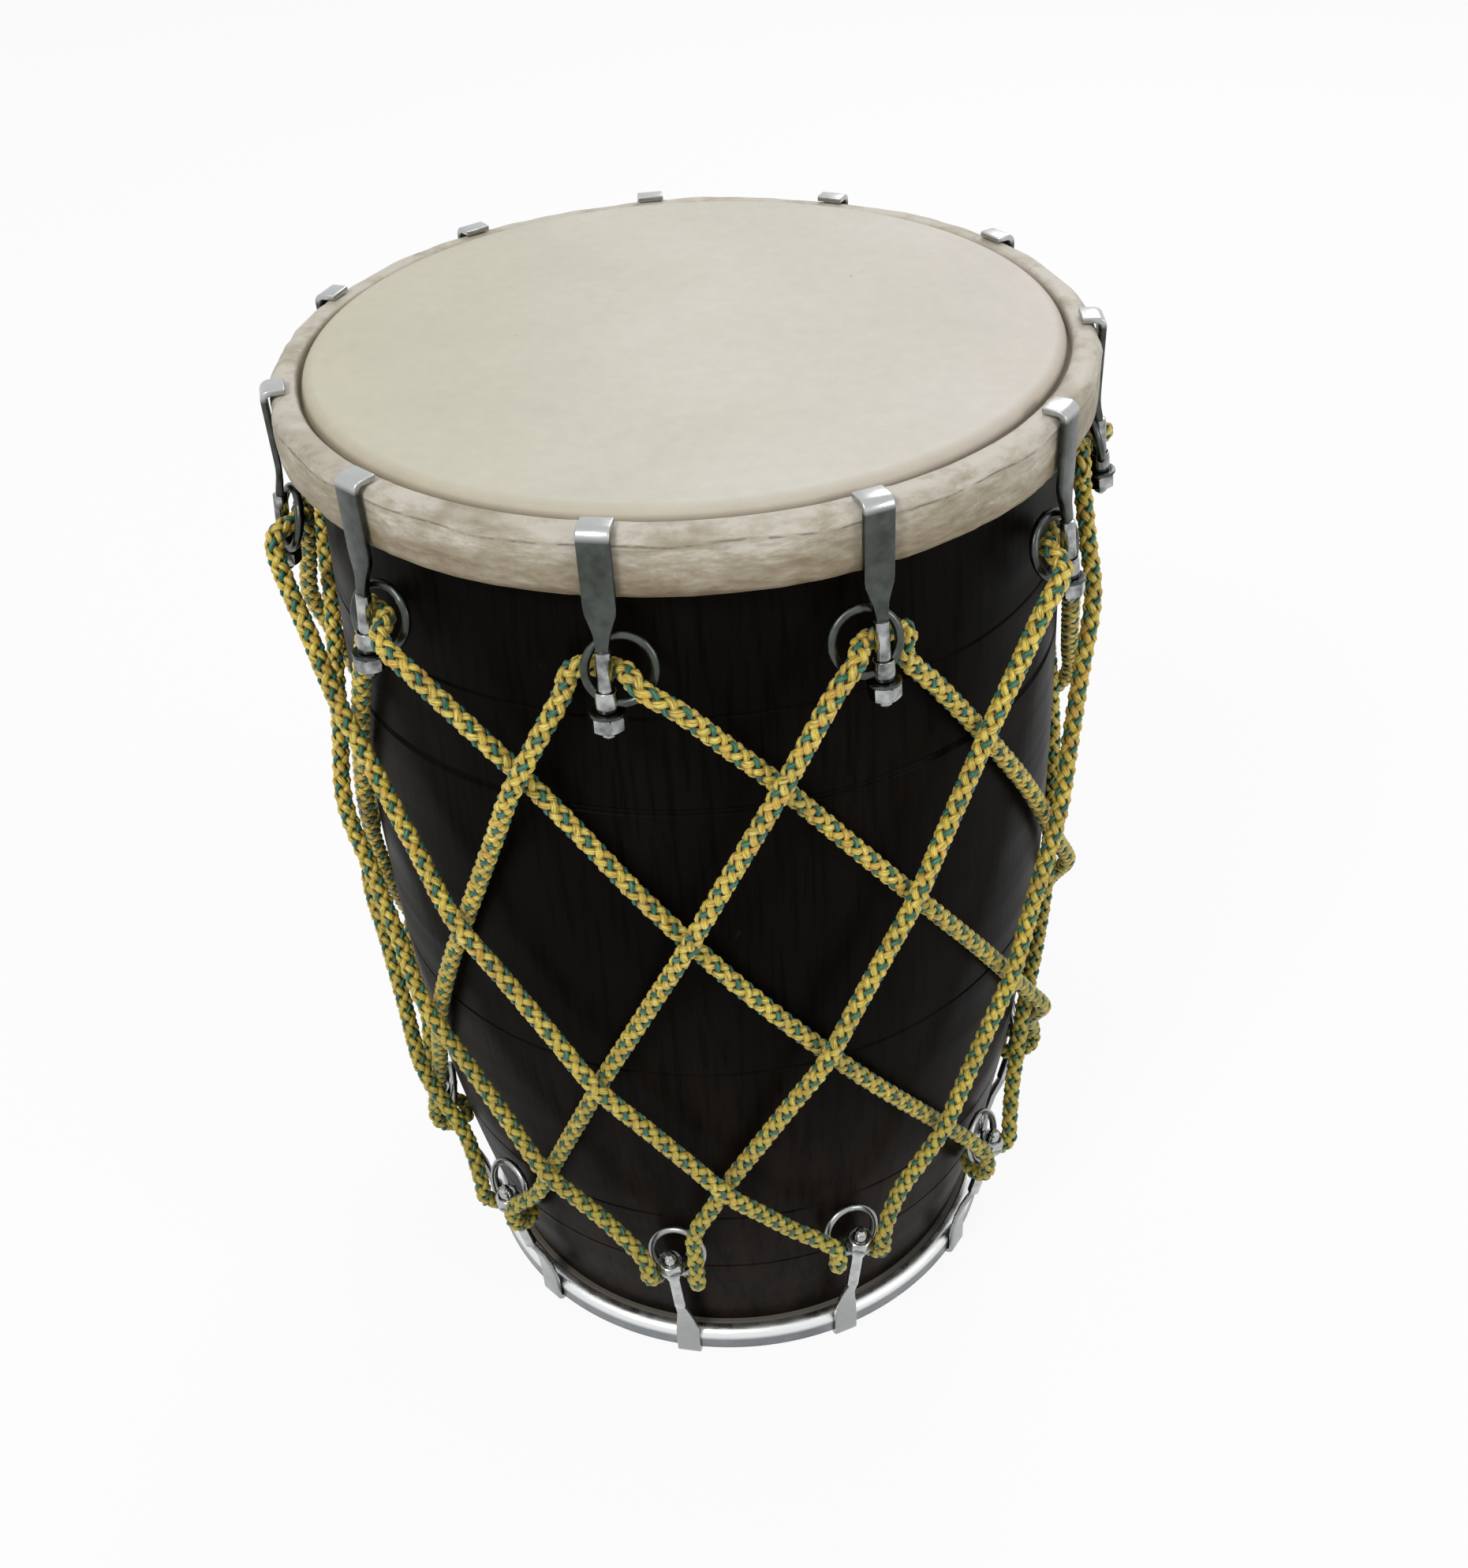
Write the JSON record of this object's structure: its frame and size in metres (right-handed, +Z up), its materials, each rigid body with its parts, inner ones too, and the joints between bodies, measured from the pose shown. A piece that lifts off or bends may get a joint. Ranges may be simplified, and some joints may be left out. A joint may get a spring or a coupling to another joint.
{
  "type": "dhol",
  "caption": "Barrel drum with a hide head at each end, steel hooks with tuning nuts and rings, and one rope laced between them.",
  "frame": {"origin": "on the drum's axis, in the plane of the lower hooks' undersides, on which it stands", "axes": "+Z up the drum's axis to the larger head, -Y to the pictured side, +X to its right"},
  "size_m": [0.3643, 0.3653, 0.5011],
  "materials": {
    "lacquered_wood": "near-black brown lacquer with a soft gloss over turned wood",
    "hide": "scraped goat hide, matt, ivory with tan smudges",
    "plated_steel": "zinc plate, satin, brighter on the bends",
    "hoop_steel": "bright rolled bar with fine scratches",
    "rope": "braided synthetic rope, golden yellow with green flecks"
  },
  "bodies": {
    "drum": {"shell": "lacquered_wood", "top_head": "hide", "bottom_head": "hide", "bottom_hoop": "hoop_steel", "lacing_rope": "rope", "top_hook_a": "plated_steel", "top_ring_a": "plated_steel", "bottom_hook_a": "plated_steel", "bottom_ring_a": "plated_steel", "top_hook_b": "plated_steel", "top_ring_b": "plated_steel", "bottom_hook_b": "plated_steel", "bottom_ring_b": "plated_steel", "top_hook_c": "plated_steel", "top_ring_c": "plated_steel", "bottom_hook_c": "plated_steel", "bottom_ring_c": "plated_steel", "top_hook_d": "plated_steel", "top_ring_d": "plated_steel", "bottom_hook_d": "plated_steel", "bottom_ring_d": "plated_steel", "top_hook_e": "plated_steel", "top_ring_e": "plated_steel", "bottom_hook_e": "plated_steel", "bottom_ring_e": "plated_steel", "top_hook_f": "plated_steel", "top_ring_f": "plated_steel", "bottom_hook_f": "plated_steel", "bottom_ring_f": "plated_steel", "top_hook_g": "plated_steel", "top_ring_g": "plated_steel", "bottom_hook_g": "plated_steel", "bottom_ring_g": "plated_steel", "top_hook_h": "plated_steel", "top_ring_h": "plated_steel", "bottom_hook_h": "plated_steel", "bottom_ring_h": "plated_steel", "top_hook_i": "plated_steel", "top_ring_i": "plated_steel", "bottom_hook_i": "plated_steel", "bottom_ring_i": "plated_steel", "top_hook_j": "plated_steel", "top_ring_j": "plated_steel", "bottom_hook_j": "plated_steel", "bottom_ring_j": "plated_steel", "top_hook_k": "plated_steel", "top_ring_k": "plated_steel", "bottom_hook_k": "plated_steel", "bottom_ring_k": "plated_steel"},
    "nut_a": {"tuning_nut_a": "plated_steel"},
    "nut_b": {"tuning_nut_b": "plated_steel"},
    "nut_c": {"tuning_nut_c": "plated_steel"},
    "nut_d": {"tuning_nut_d": "plated_steel"},
    "nut_e": {"tuning_nut_e": "plated_steel"},
    "nut_f": {"tuning_nut_f": "plated_steel"},
    "nut_g": {"tuning_nut_g": "plated_steel"},
    "nut_h": {"tuning_nut_h": "plated_steel"},
    "nut_i": {"tuning_nut_i": "plated_steel"},
    "nut_j": {"tuning_nut_j": "plated_steel"},
    "nut_k": {"tuning_nut_k": "plated_steel"}
  },
  "joints": [
    {"name": "nut_a_turn", "type": "hinge", "parent": "drum", "child": "nut_a", "pos_m": [-0.17248, -0.03421, 0.42674], "axis": [0.1025, 0.0203, 0.9945], "continuous": true},
    {"name": "nut_b_turn", "type": "hinge", "parent": "drum", "child": "nut_b", "pos_m": [-0.1273, -0.1213, 0.42674], "axis": [0.0757, 0.0721, 0.9945], "continuous": true},
    {"name": "nut_c_turn", "type": "hinge", "parent": "drum", "child": "nut_c", "pos_m": [-0.03612, -0.17209, 0.42674], "axis": [0.0215, 0.1023, 0.9945], "continuous": true},
    {"name": "nut_d_turn", "type": "hinge", "parent": "drum", "child": "nut_d", "pos_m": [0.06405, -0.16375, 0.42674], "axis": [-0.0381, 0.0973, 0.9945], "continuous": true},
    {"name": "nut_e_turn", "type": "hinge", "parent": "drum", "child": "nut_e", "pos_m": [0.14416, -0.10067, 0.42674], "axis": [-0.0857, 0.0598, 0.9945], "continuous": true},
    {"name": "nut_f_turn", "type": "hinge", "parent": "drum", "child": "nut_f", "pos_m": [0.1753, -0.01377, 0.42674], "axis": [-0.1042, 0.0082, 0.9945], "continuous": true},
    {"name": "nut_g_turn", "type": "hinge", "parent": "drum", "child": "nut_g", "pos_m": [0.15197, 0.08845, 0.42674], "axis": [-0.0903, -0.0526, 0.9945], "continuous": true},
    {"name": "nut_h_turn", "type": "hinge", "parent": "drum", "child": "nut_h", "pos_m": [0.08003, 0.15657, 0.42674], "axis": [-0.0476, -0.0931, 0.9945], "continuous": true},
    {"name": "nut_i_turn", "type": "hinge", "parent": "drum", "child": "nut_i", "pos_m": [-0.01232, 0.1754, 0.42674], "axis": [0.0073, -0.1043, 0.9945], "continuous": true},
    {"name": "nut_j_turn", "type": "hinge", "parent": "drum", "child": "nut_j", "pos_m": [-0.10113, 0.14384, 0.42674], "axis": [0.0601, -0.0855, 0.9945], "continuous": true},
    {"name": "nut_k_turn", "type": "hinge", "parent": "drum", "child": "nut_k", "pos_m": [-0.16168, 0.06912, 0.42674], "axis": [0.0961, -0.0411, 0.9945], "continuous": true}
  ]
}
